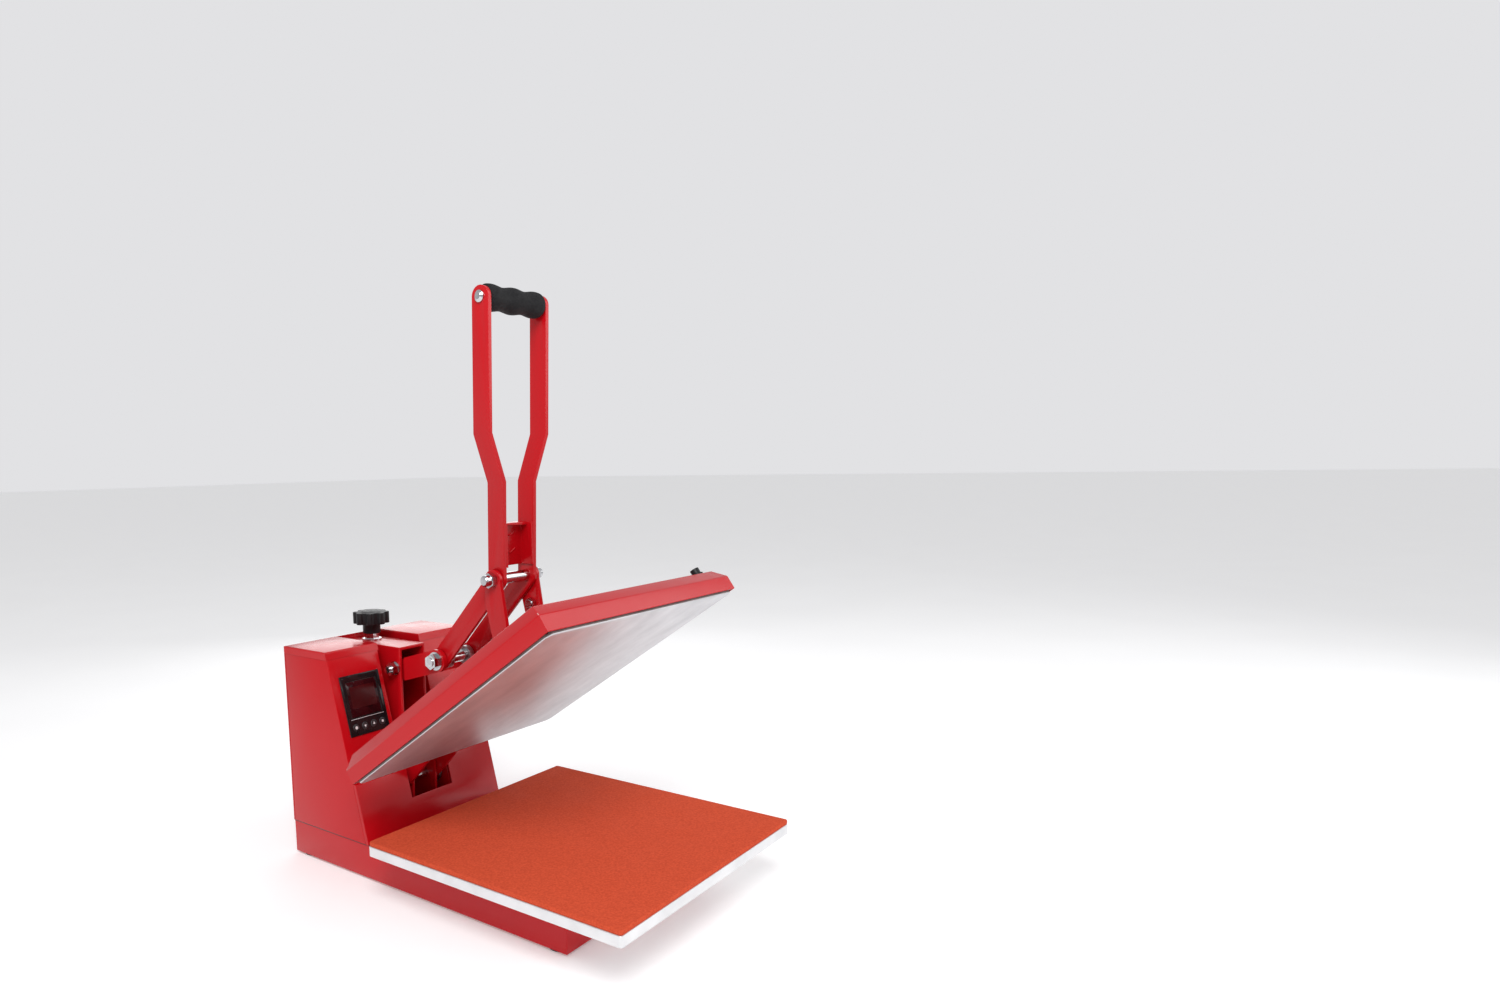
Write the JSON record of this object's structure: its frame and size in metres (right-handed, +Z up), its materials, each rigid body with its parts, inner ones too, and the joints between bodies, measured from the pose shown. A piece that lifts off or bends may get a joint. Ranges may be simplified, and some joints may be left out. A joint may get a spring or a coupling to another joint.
{
  "type": "clamshell heat press",
  "caption": "Clamshell heat press: square heated platen on a hinge, over-centre lever with foam grip, flat padded bed, slanted control housing and a pressure screw.",
  "frame": {"origin": "middle of the footprint, on the surface that the rubber feet stand on", "axes": "+X is the operator's right, -Y the front with the bed, +Y the control housing at the back, +Z up; the press is drawn open, with the lever up"},
  "size_m": [0.388, 0.614, 0.7634],
  "materials": {
    "red_paint": "glossy powder coat",
    "bare_aluminium": "satin",
    "silicone": "soft matte",
    "black_rubber": "matte",
    "black_foam": "soft foam",
    "bright_steel": "polished plate",
    "grey_steel": "plain",
    "brass": "turned",
    "black_plastic": "moulded",
    "red_plastic": "glossy",
    "button_plastic": "glossy",
    "dark_glass": "dark tint",
    "board_plastic": "laminate",
    "relay_aluminium": "extruded",
    "pale_plastic": "moulded",
    "insulation": "ceramic wool"
  },
  "bodies": {
    "base": {"base_tray": "red_paint", "rubber_feet": "black_rubber", "bed_stand": "red_paint", "lower_platen": "bare_aluminium", "silicone_pad": "silicone", "housing_left": "red_paint", "housing_right": "red_paint", "rear_panel": "red_paint", "front_panel": "red_paint", "housing_screws": "bright_steel", "column": "red_paint", "main_axle": "bright_steel", "axle_clips": "grey_steel", "lift_springs": "grey_steel", "anchor_bolt": "bright_steel", "stud_bush": "bright_steel", "control_fascia": "black_plastic", "display_window": "dark_glass", "control_board": "board_plastic", "relay_module": "relay_aluminium", "terminal_block": "pale_plastic", "power_inlet": "black_plastic", "rocker_switch": "black_plastic", "fuse_holder": "black_plastic"},
    "platen": {"platen_arm_left": "red_paint", "platen_arm_right": "red_paint", "arm_tie": "red_paint", "platen_bolts": "bright_steel", "platen_cover": "red_paint", "insulation_pad": "insulation", "heating_plate": "bare_aluminium", "heating_element": "grey_steel", "thermocouple": "grey_steel", "lead_gland": "black_plastic"},
    "adjusting_arm": {"pressure_arm": "red_paint", "rear_axle": "bright_steel", "rear_axle_nuts": "bright_steel", "axle_collars": "grey_steel"},
    "lever": {"lever_left": "red_paint", "lever_right": "red_paint", "handle_web": "red_paint", "knee_bolt": "bright_steel", "knee_spacer": "bright_steel", "grip_foam": "black_foam", "grip_bolt": "bright_steel"},
    "toggle": {"toggle_leg_left": "red_paint", "toggle_leg_right": "red_paint", "toggle_studs": "bright_steel", "toggle_shaft": "bright_steel"},
    "knob": {"pressure_knob": "black_plastic", "pressure_stud": "bright_steel"},
    "nut": {"pressure_nut": "brass"},
    "set_key": {"button_set": "button_plastic"},
    "down_key": {"button_down": "button_plastic"},
    "up_key": {"button_up": "button_plastic"},
    "mode_key": {"button_mode": "button_plastic"},
    "power_key": {"rocker_key": "red_plastic"}
  },
  "joints": [
    {"name": "platen_swing", "type": "hinge", "parent": "base", "child": "platen", "pos_m": [0, 0.1894, 0.1045], "axis": [1, 0, 0], "range_deg": [0, 35.36], "stiffness_Nm_per_rad": 15, "springref_deg": -88.81},
    {"name": "arm_tilt", "type": "hinge", "parent": "base", "child": "adjusting_arm", "pos_m": [0, 0.193, 0.268], "axis": [1, 0, 0], "range_deg": [-0.8, 0.8]},
    {"name": "lever_swing", "type": "hinge", "parent": "adjusting_arm", "child": "lever", "pos_m": [0, 0.096, 0.292], "axis": [1, 0, 0], "range_deg": [0, 69.01]},
    {"name": "toggle_fold", "type": "hinge", "parent": "lever", "child": "toggle", "pos_m": [0, -0.01, 0.408], "axis": [1, 0, 0], "range_deg": [-92.91, 0]},
    {"name": "knob_turn", "type": "hinge", "parent": "base", "child": "knob", "pos_m": [0, 0.269, 0.323], "axis": [0, 0, 1], "range_deg": [-180, 180]},
    {"name": "nut_travel", "type": "slide", "parent": "base", "child": "nut", "axis": [0, 0, 1], "range_m": [-0.0012, 0.0012]},
    {"name": "power_rock", "type": "hinge", "parent": "base", "child": "power_key", "pos_m": [0.088, 0.3038, 0.131], "axis": [0, 0, 1], "range_deg": [0, 14]},
    {"name": "set_press", "type": "slide", "parent": "base", "child": "set_key", "axis": [0, 0.9686, -0.2484], "range_m": [0, 0.0008], "stiffness_N_per_m": 400, "springref_m": -0.0005},
    {"name": "down_press", "type": "slide", "parent": "base", "child": "down_key", "axis": [0, 0.9686, -0.2484], "range_m": [0, 0.0008], "stiffness_N_per_m": 400, "springref_m": -0.0005},
    {"name": "up_press", "type": "slide", "parent": "base", "child": "up_key", "axis": [0, 0.9686, -0.2484], "range_m": [0, 0.0008], "stiffness_N_per_m": 400, "springref_m": -0.0005},
    {"name": "mode_press", "type": "slide", "parent": "base", "child": "mode_key", "axis": [0, 0.9686, -0.2484], "range_m": [0, 0.0008], "stiffness_N_per_m": 400, "springref_m": -0.0005}
  ],
  "couplings": [
    {"joint": "lever_swing", "follows": "platen_swing", "ratio": 1.9516},
    {"joint": "toggle_fold", "follows": "platen_swing", "ratio": -2.6275},
    {"joint": "nut_travel", "follows": "knob_turn", "m_per_rad": -0.0003183},
    {"joint": "arm_tilt", "follows": "knob_turn", "ratio": -0.00419}
  ]
}
